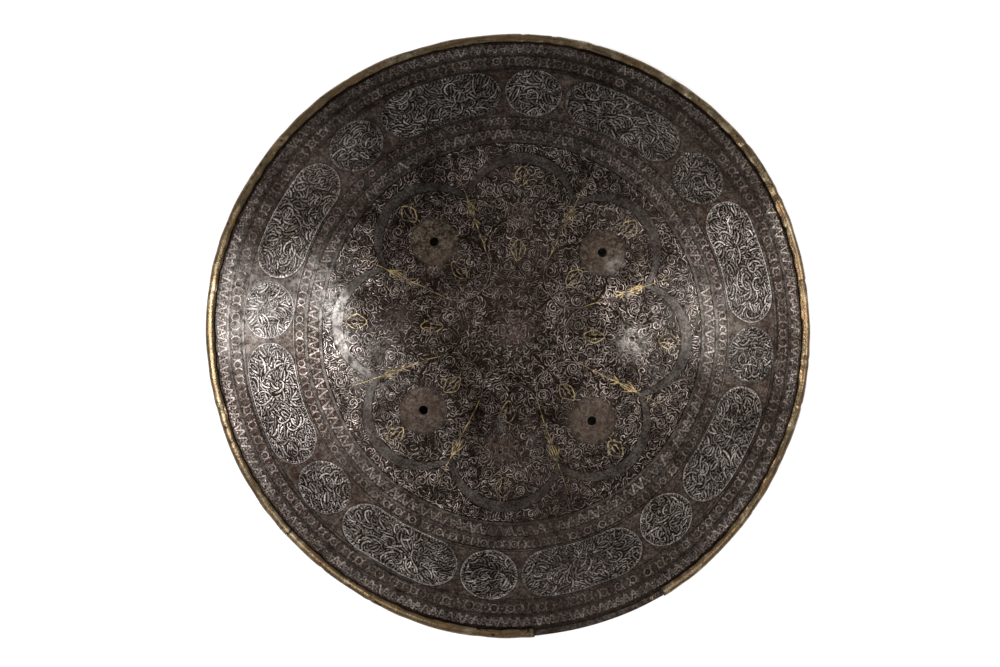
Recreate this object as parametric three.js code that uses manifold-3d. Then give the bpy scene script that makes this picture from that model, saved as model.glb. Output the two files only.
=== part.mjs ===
// Round chiselled steel shield with four empty boss seats and a worn brass edge strip.
// Millimetres, +Z up. The shield lies dome up on its edge strip at z = 0, its crown above the origin.

import * as THREE from "three";
import { mergeVertices } from "three/addons/utils/BufferGeometryUtils.js";
import Module from "manifold-3d";

const wasm = await Module();
wasm.setup();

// ---- Driving dimensions ----
const EDGE_RADIUS = 233.7; // steel edge, on its outer face, before the edge's slight waves
const THICKNESS = 1.8; // steel plate, at the raised work
const RELIEF_DEPTH = 0.35; // how far the ground lies below the raised work
const FLANK_ANGLE = radians(28); // slope of the straight flank
const FLANK_START = 190; // the dome is curved out to this radius, and straight beyond it
const EDGE_HEIGHT = 2.5; // outer steel edge above the surface that the strip rests on
const EDGE_WAVES = [
  // lobes round the edge, height of a lobe, angle of a crest in degrees
  [3, 1.5, 46],
  [4, 0.25, 45],
  [5, 0.25, 50],
  [8, 0.4, 36],
];
const WAVE_FADE = 4; // the waves fade towards the crown with this power of the radius
const SECTIONS = 60; // facets round the dome and the strip
const HOLE_SECTIONS = 20; // facets round a boss's hole, and round the flat beside it
const MERGE_TOLERANCE = 0.05; // facets flatter than this to each other are joined
const OPEN_GAP = 0.3; // clearance between pieces that touch

const LOBES = 8; // the whole pattern repeats eight times
const SECTOR = (2 * Math.PI) / LOBES;
const RAISED_BANDS = [
  // inner and outer radius of the two narrow borders
  [146, 157.4],
  [205, 217.9],
];
const PLAIN_RIM = 226; // the plate is plain and full thickness from here to its edge
const CENTRE_ROUND = 14; // radius of the raised round on the crown
const ROSETTE = {
  // eight lobes, each a crescent between two arcs: centre radius and arc radius of each
  outer: [94, 42.5],
  inner: [88, 40.5],
  steps: 6,
};
const RAY = { start: 60, end: 104, width: 1.4 }; // between the lobes

const BOSSES = 4;
const BOSS_RING = 89.7; // radius of the circle that the boss holes lie on
const BOSS_HOLE = 3.5; // radius of a boss's rivet hole
const SEAT_FLAT = 8; // radius of the flat filed round each hole
const SEAT_CUT = 0.15; // depth of that flat below the ground
const SEAT_BORDER = 17.5; // radius of the raised line round each boss's place
const BORDER_WIDTH = 1.2;
const SEAT_FACET = 14; // the dome's facet reaches this far either side of a hole

const PANEL_RADIUS = 185.8; // middle of the broad band of panels
const PANEL_TURN = radians(-1.7); // the band was laid out this far off the bosses
const ROUND_PANEL = 22; // radius of a round panel, measured on the slope
const LONG_PANEL_HALF_WIDTH = 18.6;
const LONG_PANEL_HALF_ANGLE = radians(14.8);

const STRIP_GAP_START = radians(278.2); // the strip is lost from here
const STRIP_GAP_END = radians(304);
const STRIP_JOINT = radians(225.6); // butt joint between the two strips
const STRIP_WALL = 0.8;
const STRIP_REACH = 7.2; // how far the strip laps over the outer face
const STRIP_INSIDE_REACH = 5.2; // and over the inner face
const RIVET_ANGLE = radians(301.7);
const RIVET_INSET = 2.8; // from the steel edge, along the slope
const RIVET_SHANK = 0.8;
const RIVET_HEAD = 1.6;
const RIVET_CROWN = 0.7;
const RIVET_SIDES = 8;

const STEEL = { color: 0x4a4038, roughness: 0.45, metalness: 1 };
const BRASS = { color: 0x8f7440, roughness: 0.4, metalness: 1 };

function radians(degrees) {
  return (degrees * Math.PI) / 180;
}

// ---- The dome's profile ----

// How far the outer face has dropped from the crown at a radius.
function drop(radius) {
  const slope = Math.tan(FLANK_ANGLE);
  if (radius >= FLANK_START) return slope * (radius - FLANK_START / 2);
  const turn = (Math.PI * radius) / FLANK_START;
  return slope * (radius / 2 - (FLANK_START / (2 * Math.PI)) * Math.sin(turn));
}

function slopeAngle(radius) {
  const share = radius >= FLANK_START ? 1 : (1 - Math.cos((Math.PI * radius) / FLANK_START)) / 2;
  return Math.atan(Math.tan(FLANK_ANGLE) * share);
}

// A profile point (radius, height) at a depth below the outer face, square to it.
function profilePoint(radius, depth) {
  const angle = slopeAngle(radius);
  const height = EDGE_HEIGHT + drop(EDGE_RADIUS) - drop(radius);
  return new THREE.Vector2(radius - depth * Math.sin(angle), height - depth * Math.cos(angle));
}

// The edge is not quite round: a share of its radius, added at an angle.
function edgeWave(angle) {
  let wave = 0;
  for (const [lobes, height, crest] of EDGE_WAVES) {
    wave += (height / EDGE_RADIUS) * Math.cos(lobes * (angle - radians(crest)));
  }
  return wave;
}

// ---- Solids ----

function solid(geometry) {
  const bare = geometry.clone();
  bare.deleteAttribute("normal");
  bare.deleteAttribute("uv");
  const merged = mergeVertices(bare, 1e-5);
  const corners = merged.index.array;
  const kept = [];
  for (let i = 0; i < corners.length; i += 3) {
    const [a, b, c] = corners.slice(i, i + 3);
    if (a !== b && b !== c && c !== a) kept.push(a, b, c);
  }
  return new wasm.Manifold(
    new wasm.Mesh({
      numProp: 3,
      vertProperties: new Float32Array(merged.attributes.position.array),
      triVerts: new Uint32Array(kept),
    }),
  );
}

function named(name, body, look) {
  const mesh = body.simplify(MERGE_TOLERANCE).getMesh();
  const geometry = new THREE.BufferGeometry();
  geometry.setAttribute("position", new THREE.BufferAttribute(mesh.vertProperties, 3));
  geometry.setIndex(new THREE.BufferAttribute(mesh.triVerts, 1));
  geometry.computeVertexNormals();
  const piece = new THREE.Mesh(geometry, new THREE.MeshStandardMaterial(look));
  piece.name = name;
  return piece;
}

// A profile turned about Z, with the edge's waves. Its points run anticlockwise.
function turned(points) {
  const geometry = new THREE.LatheGeometry(points, SECTIONS);
  geometry.rotateX(Math.PI / 2);
  const place = geometry.attributes.position;
  for (let i = 0; i < place.count; i++) {
    const x = place.getX(i);
    const y = place.getY(i);
    const fade = Math.pow(Math.hypot(x, y) / EDGE_RADIUS, WAVE_FADE);
    const stretch = 1 + fade * edgeWave(Math.atan2(y, x));
    place.setXY(i, x * stretch, y * stretch);
  }
  return solid(geometry);
}

// An upright prism through the whole dome, from a plan shape.
function prism(shape, curveSegments) {
  const height = EDGE_HEIGHT + drop(EDGE_RADIUS) + THICKNESS;
  return solid(new THREE.ExtrudeGeometry(shape, { depth: height, bevelEnabled: false, curveSegments }));
}

// ---- The steel plate ----

// Facets' radii from crown to edge. A facet spans each boss seat.
const SEAT_INSIDE = BOSS_RING - SEAT_FACET;
const SEAT_OUTSIDE = BOSS_RING + SEAT_FACET;
const FACET_RADII = [0, 42, SEAT_INSIDE, SEAT_OUTSIDE, 126, 150, 170, FLANK_START, PLAIN_RIM, EDGE_RADIUS];

// The height of the faceted dome's outer face between two facet radii, at a depth.
function facetPoint(radius, depth) {
  const outer = FACET_RADII.findIndex((ring) => ring >= radius);
  if (FACET_RADII[outer] === radius) return profilePoint(radius, depth);
  const high = profilePoint(FACET_RADII[outer - 1], depth);
  const low = profilePoint(FACET_RADII[outer], depth);
  const share = (radius - FACET_RADII[outer - 1]) / (FACET_RADII[outer] - FACET_RADII[outer - 1]);
  return high.lerp(low, share);
}

// The outer face steps up from the ground to each narrow border and to the plain rim.
function outerFace() {
  const raised = [...RAISED_BANDS, [PLAIN_RIM, EDGE_RADIUS]];
  const steps = [];
  for (const radius of FACET_RADII) {
    const covered = raised.some(([from, to]) => radius >= from && radius <= to);
    if (!covered) steps.push([radius, RELIEF_DEPTH]);
  }
  for (const [from, to] of raised) {
    steps.push([from, RELIEF_DEPTH], [from, 0], [to, 0]);
    if (to < EDGE_RADIUS) steps.push([to, RELIEF_DEPTH]);
  }
  steps.sort((a, b) => a[0] - b[0]);
  return steps.map(([radius, depth]) => facetPoint(radius, depth));
}

function innerFace() {
  return [...FACET_RADII].reverse().map((radius) => profilePoint(radius, THICKNESS));
}

function dome() {
  return turned([...outerFace(), ...innerFace()].reverse());
}

// The layer that raised work is cut from: the outer face down to just below the ground.
function reliefLayer() {
  const top = FACET_RADII.map((radius) => profilePoint(radius, 0));
  const under = [...FACET_RADII].reverse().map((radius) => profilePoint(radius, 2 * RELIEF_DEPTH));
  return turned([...top, ...under].reverse());
}

function at(radius, angle) {
  return new THREE.Vector2(radius * Math.cos(angle), radius * Math.sin(angle));
}

function ringShape(centre, radius) {
  const shape = new THREE.Shape().absarc(centre.x, centre.y, radius + BORDER_WIDTH / 2, 0, 2 * Math.PI);
  shape.holes.push(new THREE.Path().absarc(centre.x, centre.y, radius - BORDER_WIDTH / 2, 0, 2 * Math.PI));
  return shape;
}

// Eight equal arcs that bulge outwards and meet in points halfway between the lobes.
function lobedOutline([centreRadius, arcRadius]) {
  const across = centreRadius * Math.sin(SECTOR / 2);
  const along = Math.sqrt(arcRadius * arcRadius - across * across);
  const open = Math.atan2(across, along) + SECTOR / 2;
  const points = [];
  for (let lobe = 0; lobe < LOBES; lobe++) {
    const middle = at(centreRadius, lobe * SECTOR);
    for (let step = 0; step < ROSETTE.steps; step++) {
      const swing = open * ((2 * step) / ROSETTE.steps - 1);
      points.push(at(arcRadius, lobe * SECTOR + swing).add(middle));
    }
  }
  return points;
}

function rosetteBand() {
  const shape = new THREE.Shape(lobedOutline(ROSETTE.outer));
  shape.holes.push(new THREE.Path(lobedOutline(ROSETTE.inner)));
  return prism(shape);
}

function ray(index) {
  const angle = (index + 0.5) * SECTOR;
  const side = at(RAY.width / 2, angle + Math.PI / 2);
  const start = at(RAY.start, angle);
  const end = at(RAY.end, angle);
  return prism(
    new THREE.Shape([
      start.clone().sub(side),
      end.clone().sub(side),
      end.clone().add(side),
      start.clone().add(side),
    ]),
  );
}

// A round panel is a circle on the slope, so in plan it is shortened along its radius.
function roundPanel(index) {
  const angle = index * SECTOR + PANEL_TURN;
  const centre = at(PANEL_RADIUS, angle);
  const shortened = ROUND_PANEL * Math.cos(slopeAngle(PANEL_RADIUS));
  const shape = new THREE.Shape();
  shape.absellipse(centre.x, centre.y, shortened, ROUND_PANEL, 0, 2 * Math.PI, false, angle);
  return prism(shape, 8);
}

// A long panel follows the band, with a round end at each end.
function longPanel(index) {
  const angle = (index + 0.5) * SECTOR + PANEL_TURN;
  const straight = LONG_PANEL_HALF_ANGLE - LONG_PANEL_HALF_WIDTH / PANEL_RADIUS;
  const arcSteps = 4;
  const endSteps = 6;
  const points = [];
  for (const side of [1, -1]) {
    for (let step = 0; step <= arcSteps; step++) {
      const swing = side * straight * (1 - (2 * step) / arcSteps);
      points.push(at(PANEL_RADIUS + side * LONG_PANEL_HALF_WIDTH, angle - swing));
    }
    const endAngle = angle + side * straight;
    const centre = at(PANEL_RADIUS, endAngle);
    for (let step = 1; step < endSteps; step++) {
      const heading = endAngle + (side > 0 ? 0 : Math.PI) + (Math.PI * step) / endSteps;
      points.push(at(LONG_PANEL_HALF_WIDTH, heading).add(centre));
    }
  }
  return prism(new THREE.Shape(points));
}

function centreRound() {
  return prism(new THREE.Shape().absarc(0, 0, CENTRE_ROUND, 0, 2 * Math.PI), 8);
}

function bossAngle(index) {
  return (index + 0.5) * (SECTOR * (LOBES / BOSSES));
}

function seatBorder(index) {
  return prism(ringShape(at(BOSS_RING, bossAngle(index)), SEAT_BORDER), 6);
}

function raisedWork() {
  const shapes = [rosetteBand(), centreRound()];
  for (let index = 0; index < LOBES; index++) shapes.push(ray(index), roundPanel(index), longPanel(index));
  for (let index = 0; index < BOSSES; index++) shapes.push(seatBorder(index));
  return wasm.Manifold.union(shapes).intersect(reliefLayer());
}

// A cylinder square to the dome at a boss's place, from a depth below the ground outwards.
function bossCutter(index, radius, depth) {
  const inner = profilePoint(SEAT_INSIDE, RELIEF_DEPTH);
  const outer = profilePoint(SEAT_OUTSIDE, RELIEF_DEPTH);
  const fall = Math.atan2(inner.y - outer.y, outer.x - inner.x);
  const middle = inner.clone().add(outer).multiplyScalar(0.5);
  const length = depth + 2 * THICKNESS;
  const cutter = new THREE.CylinderGeometry(radius, radius, length, HOLE_SECTIONS);
  cutter.rotateX(Math.PI / 2);
  cutter.translate(0, 0, length / 2 - depth);
  cutter.rotateY(fall);
  cutter.translate(middle.x, 0, middle.y);
  cutter.rotateZ(bossAngle(index));
  return solid(cutter);
}

// A lathe piece that stands square to the flank at an angle, its origin on the outer face.
function onFlank(geometry, angle, inset) {
  const edge = profilePoint(EDGE_RADIUS, 0);
  const stretch = 1 + edgeWave(angle);
  const x = edge.x * stretch - inset * Math.cos(FLANK_ANGLE);
  const z = edge.y + inset * Math.sin(FLANK_ANGLE);
  geometry.rotateX(Math.PI / 2);
  geometry.rotateY(FLANK_ANGLE);
  geometry.translate(x, 0, z);
  geometry.rotateZ(angle);
  return solid(geometry);
}

function rivetHole() {
  const radius = RIVET_SHANK + OPEN_GAP;
  const hole = new THREE.CylinderGeometry(radius, radius, 4 * THICKNESS, RIVET_SIDES);
  return onFlank(hole, RIVET_ANGLE, RIVET_INSET);
}

function steelPlate() {
  let plate = dome().add(raisedWork());
  for (let index = 0; index < BOSSES; index++) {
    plate = plate.subtract(bossCutter(index, SEAT_FLAT, SEAT_CUT));
    plate = plate.subtract(bossCutter(index, BOSS_HOLE, 2 * THICKNESS));
  }
  return plate.subtract(rivetHole());
}

// ---- The brass edge strip ----

// A point of the strip's section: along the slope past the steel edge, and out from the outer face.
function stripPoint(past, out) {
  const edge = profilePoint(EDGE_RADIUS, 0);
  const cos = Math.cos(FLANK_ANGLE);
  const sin = Math.sin(FLANK_ANGLE);
  return new THREE.Vector2(edge.x + past * cos + out * sin, edge.y - past * sin + out * cos);
}

// Where a line along the slope meets the surface that the strip rests on.
function restingPoint(past) {
  const out = (past * Math.sin(FLANK_ANGLE) - EDGE_HEIGHT) / Math.cos(FLANK_ANGLE);
  return stripPoint(past, out);
}

// The strip is bent round the edge, crowned on the outside and flat where it rests.
function stripSection() {
  const insideFace = -THICKNESS - OPEN_GAP;
  return [
    stripPoint(-STRIP_REACH, OPEN_GAP),
    stripPoint(OPEN_GAP, OPEN_GAP),
    stripPoint(OPEN_GAP, insideFace),
    stripPoint(-STRIP_INSIDE_REACH, insideFace),
    stripPoint(-STRIP_INSIDE_REACH, insideFace - STRIP_WALL),
    restingPoint(0),
    restingPoint(1.3),
    stripPoint(1.5, -1),
    stripPoint(1.3, 0.5),
    stripPoint(0.3, 1.2),
    stripPoint(-2.6, 1.5),
    stripPoint(-5.6, 1.2),
    stripPoint(-STRIP_REACH, 0.6),
  ];
}

// A wedge from one angle round to another, wide enough to hold the whole shield.
function wedge(start, end) {
  const reach = 2 * EDGE_RADIUS;
  const height = EDGE_HEIGHT + drop(EDGE_RADIUS);
  const shape = new THREE.Shape().moveTo(0, 0);
  shape.lineTo(reach * Math.cos(start), reach * Math.sin(start));
  shape.absarc(0, 0, reach, start, end);
  shape.closePath();
  const geometry = new THREE.ExtrudeGeometry(shape, {
    depth: 2 * height,
    bevelEnabled: false,
    curveSegments: 12,
  });
  geometry.translate(0, 0, -height);
  return solid(geometry);
}

function edgeStrip(start, end) {
  const section = stripSection();
  return turned([...section, section[0]]).intersect(wedge(start, end));
}

// The rivet's domed head is on the outer face, and its tail is spread on the inner face.
function rivet() {
  const outHead = OPEN_GAP;
  const inHead = -THICKNESS - OPEN_GAP;
  const points = [
    new THREE.Vector2(0, inHead - RIVET_CROWN),
    new THREE.Vector2(RIVET_HEAD, inHead - RIVET_CROWN / 2),
    new THREE.Vector2(RIVET_HEAD, inHead),
    new THREE.Vector2(RIVET_SHANK, inHead),
    new THREE.Vector2(RIVET_SHANK, outHead),
    new THREE.Vector2(RIVET_HEAD, outHead),
    new THREE.Vector2(RIVET_HEAD * 0.8, outHead + RIVET_CROWN * 0.6),
    new THREE.Vector2(0, outHead + RIVET_CROWN),
  ];
  return onFlank(new THREE.LatheGeometry(points, RIVET_SIDES), RIVET_ANGLE, RIVET_INSET);
}

// ---- The shield ----

const jointHalf = OPEN_GAP / 2 / EDGE_RADIUS;
const shield = new THREE.Group();
shield.add(
  named("steel_plate", steelPlate(), STEEL),
  named("long_edge_strip", edgeStrip(STRIP_GAP_END - 2 * Math.PI, STRIP_JOINT - jointHalf), BRASS),
  named("short_edge_strip", edgeStrip(STRIP_JOINT + jointHalf, STRIP_GAP_START), BRASS),
  named("edge_rivet", rivet(), BRASS),
);

export default shield;
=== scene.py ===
"""Looks of the round chiselled steel shield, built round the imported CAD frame.

Places on the dome are plan millimetres from its axis. A depth is measured below the raised work, square
to the dome. Meshes are made in metres in the frame's own axes.
"""

from math import atan2, cos, pi, radians, sin, sqrt, tan
from typing import NamedTuple

import bpy
import numpy as np
from mathutils import Matrix, Vector


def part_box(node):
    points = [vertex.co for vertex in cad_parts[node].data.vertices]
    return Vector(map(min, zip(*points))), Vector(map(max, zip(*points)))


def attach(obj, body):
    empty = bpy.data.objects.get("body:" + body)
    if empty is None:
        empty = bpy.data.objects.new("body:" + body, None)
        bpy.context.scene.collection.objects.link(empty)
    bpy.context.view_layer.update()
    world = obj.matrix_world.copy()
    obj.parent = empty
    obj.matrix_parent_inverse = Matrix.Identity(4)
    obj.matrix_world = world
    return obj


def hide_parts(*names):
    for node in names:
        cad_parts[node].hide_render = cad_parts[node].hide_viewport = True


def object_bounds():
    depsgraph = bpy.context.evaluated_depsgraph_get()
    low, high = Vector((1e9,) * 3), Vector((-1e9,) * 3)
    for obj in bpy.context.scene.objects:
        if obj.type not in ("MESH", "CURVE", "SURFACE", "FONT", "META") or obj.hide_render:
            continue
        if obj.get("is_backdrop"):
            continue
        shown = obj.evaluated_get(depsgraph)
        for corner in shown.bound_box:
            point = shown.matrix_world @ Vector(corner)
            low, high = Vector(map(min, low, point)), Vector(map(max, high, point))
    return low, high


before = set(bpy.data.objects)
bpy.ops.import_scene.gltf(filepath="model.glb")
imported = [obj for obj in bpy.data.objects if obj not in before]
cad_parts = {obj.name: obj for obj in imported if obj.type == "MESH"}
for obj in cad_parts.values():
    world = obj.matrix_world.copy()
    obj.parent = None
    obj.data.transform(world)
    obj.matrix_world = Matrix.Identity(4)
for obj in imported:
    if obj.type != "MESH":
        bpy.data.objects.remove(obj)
cad_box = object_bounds()

MM = 0.001
TURN = 2 * pi

# ---- The dome, as the CAD has it ----
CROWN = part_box("steel_plate")[1][2] / MM  # height of the raised work at the crown
EDGE = 233.7  # radius of the steel edge before its waves
EDGE_HEIGHT = 2.5
THICKNESS = 1.8
GROUND = 0.35  # depth of the chiselled ground
FLANK = radians(28)
FLANK_START = 190.0
EDGE_WAVES = [(3, 1.5, 46), (4, 0.25, 45), (5, 0.25, 50), (8, 0.4, 36)]
OPEN_GAP = 0.3

# ---- The pattern ----
LOBES = 8
SECTOR = TURN / LOBES
BOSSES = 4
BOSS_RING = 89.7
BOSS_HOLE = 3.5
SEAT_BORDER = 17.5
BOSS_CLEAR = 22  # no hammered hollows this near a boss's place
FIELD_EDGE = 144.4
PANEL_RADIUS = 185.8
PANEL_TURN = radians(-1.7)
PANEL_SHORTENING = cos(FLANK)  # a panel is drawn on the slope, and is this much lower in plan
ROUND_PANEL = (22.0, 22.0)  # half length and half height on the slope
LONG_PANEL = (48.0, 18.6 / PANEL_SHORTENING)
PANEL_BAND = (166.5, 205.5)
PAINTED_SHADE_GROOVE = (227.2, 229.2)  # the groove beside the edge strip, coloured near black as painted shade of the gap under the strip
ROSETTE_OUTER = (94.0, 42.5)  # lobes' centre radius and arc radius
ROSETTE_INNER = (88.0, 40.5)
STAR = (62.0, 23.8)

rng = np.random.default_rng(11)


# ---- Shapes in plan ----
def at(radius, angle):
    return np.stack([radius * np.cos(angle), radius * np.sin(angle)], -1)


def ring(radius, count):
    return at(radius, np.arange(count) * TURN / count)


def turned(line, angle):
    c, s = cos(angle), sin(angle)
    return line @ np.array([[c, s], [-s, c]])


BOSS_ANGLES = [(index + 0.5) * TURN / BOSSES for index in range(BOSSES)]
BOSS_PLACES = [at(BOSS_RING, angle) for angle in BOSS_ANGLES]


# ---- From plan to dome ----
def drop(radius):
    curved = radius / 2 - FLANK_START / TURN * np.sin(pi * radius / FLANK_START)
    return tan(FLANK) * np.where(radius < FLANK_START, curved, radius - FLANK_START / 2)


def slope_angle(radius):
    share = np.where(radius < FLANK_START, (1 - np.cos(pi * radius / FLANK_START)) / 2, 1.0)
    return np.arctan(tan(FLANK) * share)


def edge_wave(angle):
    return sum(h / EDGE * np.cos(n * (angle - radians(c))) for n, h, c in EDGE_WAVES)


HAMMERED = rng.uniform(0, 1, (12, 3))  # length, heading and phase of each wave of the hammered dome
HOLLOW_LENGTHS = (26, 76)
HOLLOW_DEPTH = 0.5  # half way down the hollows
WANDER = rng.uniform(0, 1, (12, 4))  # length, heading, phase and direction of each wave of wandering
WANDER_LENGTHS = (9, 35)
WANDER_CATCH = 2.4  # the waves seldom add up, so each is this much larger than its share


def part_way(limits, share):
    return limits[0] + (limits[1] - limits[0]) * share


def hollows(x, y):
    """Depth of the slight hollows of an old hammered dome. There are none at the crown, bosses and edge."""
    total = np.zeros_like(x)
    for length, heading, phase in HAMMERED:
        along = x * cos(TURN * heading) + y * sin(TURN * heading)
        height = part_way((0.05, 0.15), length)
        total += height * np.sin(along * TURN / part_way(HOLLOW_LENGTHS, length) + TURN * phase)
    radius = np.hypot(x, y)
    fade = np.clip(radius / 40, 0, 1) * np.clip((PAINTED_SHADE_GROOVE[0] - radius) / 25, 0, 1)
    for place in BOSS_PLACES:
        away = ((x - place[0]) ** 2 + (y - place[1]) ** 2) / BOSS_CLEAR**2
        fade = fade * (1 - np.exp(-(away**2)))
    return fade * np.maximum(HOLLOW_DEPTH + total, 0)


def wandered(plan, reach):
    """Places moved a little, as lines drawn by hand wander."""
    shift = np.zeros_like(plan)
    for length, heading, phase, share in WANDER:
        wave = TURN / part_way(WANDER_LENGTHS, length)
        along = plan[:, 0] * cos(TURN * heading) + plan[:, 1] * sin(TURN * heading)
        swing = np.sin(wave * along + TURN * phase) * reach / len(WANDER) * WANDER_CATCH
        shift += swing[:, None] * [cos(TURN * share), sin(TURN * share)]
    return plan + shift


def on_dome(x, y, depth):
    """Frame places, in millimetres, of plan places at a depth."""
    radius = np.hypot(x, y)
    angle = np.arctan2(y, x)
    tilt = slope_angle(radius)
    below = depth + hollows(x, y)
    stretch = 1 + (radius / EDGE) ** 4 * edge_wave(angle)
    out = (radius - below * np.sin(tilt)) * stretch
    height = CROWN - drop(radius) - below * np.cos(tilt)
    return np.stack([out * np.cos(angle), out * np.sin(angle), height], -1)


# ---- Meshes ----
def place_in_scene(name, data):
    made = bpy.data.objects.new(name, data)
    bpy.context.scene.collection.objects.link(made)
    return made


def make_piece(name, places, faces, material, slot, replaces=(), smooth=False, **layers):
    """A mesh from places in millimetres and arrays of faces, with its float layers."""
    mesh = bpy.data.meshes.new(name)
    mesh.vertices.add(len(places))
    mesh.vertices.foreach_set("co", (np.asarray(places) * MM).astype(np.float32).ravel())
    corners = np.concatenate([block.ravel() for block in faces]).astype(np.int32)
    sizes = np.concatenate([np.full(len(block), block.shape[1]) for block in faces])
    starts = np.concatenate([[0], np.cumsum(sizes)[:-1]]).astype(np.int32)
    mesh.loops.add(len(corners))
    mesh.loops.foreach_set("vertex_index", corners)
    mesh.polygons.add(len(sizes))
    mesh.polygons.foreach_set("loop_start", starts)
    mesh.update(calc_edges=True)
    add_layers(mesh, layers)
    if smooth:
        mesh.shade_smooth()
    else:
        mesh.shade_flat()
    mesh.materials.append(material)
    piece = place_in_scene(name, mesh)
    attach(piece, "root")
    if replaces:
        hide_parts(*replaces)
    return piece


def add_layers(mesh, layers):
    for layer, values in layers.items():
        made = mesh.attributes.new(layer, "FLOAT", "POINT")
        made.data.foreach_set("value", np.asarray(values, np.float32))


def strip_faces(rows, columns, close_rows, close_columns):
    """Quads over a grid of rows of places, each row one section."""
    i = np.arange(rows if close_rows else rows - 1)
    j = np.arange(columns if close_columns else columns - 1)
    i, j = (grid.ravel() for grid in np.meshgrid(i, j, indexing="ij"))
    down, across = (i + 1) % rows, (j + 1) % columns
    return np.stack([i * columns + j, i * columns + across, down * columns + across, down * columns + j], -1)


class Ridges:
    """Gathers flat-topped ridges laid over the dome, each a closed solid sunk a little into the ground."""

    FOOT = GROUND + 0.12
    BEVEL = 0.14
    END_FALL = 0.3 * GROUND  # how far an open stroke's ends are below its top

    def __init__(self, tones=(0.6, 1.35)):
        self.stroke_tones = tones  # some strokes are dirtier than others
        self.places = []
        self.depths = []
        self.tones = []
        self.faces = []
        self.count = 0

    def add(self, line, width, closed=False, bend=None, sink=0.0):
        """One stroke along a line, with its own width or widths."""
        line = np.asarray(line, float)
        width = np.broadcast_to(np.asarray(width, float), len(line))
        if closed:
            along = np.roll(line, -1, 0) - np.roll(line, 1, 0)
        else:
            along = np.gradient(line, axis=0)
        along /= np.maximum(np.linalg.norm(along, axis=1, keepdims=True), 1e-6)
        side = np.stack([-along[:, 1], along[:, 0]], -1)
        half = width[:, None] / 2
        shifts = np.concatenate([-half - self.BEVEL, -half, half, half + self.BEVEL], 1)
        section = (line[:, None] + side[:, None] * shifts[..., None]).reshape(-1, 2)
        depth = np.broadcast_to([self.FOOT, sink, sink, self.FOOT], (len(line), 4)).copy()
        if not closed:
            depth[[0, -1], 1:3] += self.END_FALL
        faces = strip_faces(len(line), 4, closed, True)[:, ::-1]
        if not closed:
            last = 4 * (len(line) - 1)
            ends = np.array([[0, 1, 2, 3], [last + 3, last + 2, last + 1, last]])
            faces = np.concatenate([faces, ends])
        self.keep(bend(section) if bend else section, depth.ravel(), faces)

    def keep(self, places, depths, faces):
        self.places.append(places)
        self.depths.append(depths)
        self.tones.append(np.full(len(places), rng.uniform(*self.stroke_tones)))
        self.faces.append(faces + self.count)
        self.count += len(places)

    def piece(self, name, material, slot="chiselled_steel", lift=0.0, wander=0.0):
        plan = wandered(np.concatenate(self.places), wander)
        depths = np.concatenate(self.depths) - lift
        faces = np.concatenate(self.faces)
        places = on_dome(plan[:, 0], plan[:, 1], depths)
        tones = np.concatenate(self.tones)
        return make_piece(name, places, [faces], material, slot, tone=tones, **stains(plan))


# ---- Where the patina differs ----
# Plan place, radius and strength of each stain, in millimetres.
STAINS = {
    "rust": [
        (0, 0, 15, 1.0), (0, 88, 12, 0.7), (-3, -88, 13, 0.9), (-86, 4, 12, 0.6), (63, -63, 19, 1.0),
        (-63, -63, 18, 0.7), (63, 63, 17, 0.5), (-60, 46, 8, 0.8), (-48, 55, 8, 0.6),
        (15, -95, 26, 0.35), (40, -110, 30, 0.35), (-20, 120, 30, 0.3), (-5, 30, 22, 0.4),
        (-35, 15, 20, 0.35), (30, -140, 40, 0.3), (-110, -90, 30, 0.25), (90, 90, 30, 0.25),
        (-150, 120, 34, 0.3), (60, -190, 44, 0.3), (110, 150, 36, 0.25), (10, 60, 24, 0.35),
        (40, 20, 18, 0.3),
    ],
    # Grey patches: the five at x of -108 and less lie on the left flank and are painted highlight where the
    # left softbox's reflection falls; the others are wear.
    "worn_and_painted_highlight": [
        (89, -3, 13, 0.65), (-136, 12, 15, 1.0), (-128, -14, 9, 0.9), (108, -24, 9, 0.2),
        (-152, 24, 28, 0.4), (72, 55, 7, 0.6), (-108, -30, 26, 0.3), (-4, -70, 5, 0.3),
        (20, -78, 4, 0.3), (-205, 6, 40, 0.45), (150, 20, 40, 0.2),
    ],
    "olive": [
        (-63, 63, 20, 0.9), (63, -63, 20, 0.4), (63, 63, 20, 0.5), (-63, -63, 20, 0.3),
    ],
}


def stains(plan):
    """Float layers for the patina at plan places."""
    layers = {}
    for name, spots in STAINS.items():
        total = np.zeros(len(plan))
        for x, y, radius, strength in spots:
            far = np.hypot(plan[:, 0] - x, plan[:, 1] - y) / radius
            total = np.maximum(total, strength * np.exp(-(far**3)))
        layers[name] = total
    return layers


# ---- Materials ----
# Dark and light colours of each kind of surface.
RUST_DARK, RUST_LIGHT = (0.018, 0.009, 0.006), (0.066, 0.033, 0.018)
# Light grey of worn steel, also used as painted highlight on the left flank.
WORN_AND_HIGHLIGHT_GREY = (0.2, 0.185, 0.165)
OLIVE_DARK, OLIVE_LIGHT = (0.063, 0.05, 0.033), (0.11, 0.092, 0.066)
PLAIN_DARK, PLAIN_LIGHT = (0.036, 0.026, 0.02), (0.07, 0.056, 0.047)
INSIDE_DARK, INSIDE_LIGHT = (0.045, 0.037, 0.031), (0.09, 0.08, 0.072)
# Near black painted shade for the groove beside the edge strip.
PAINTED_SHADE = (0.004, 0.003, 0.003)


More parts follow.
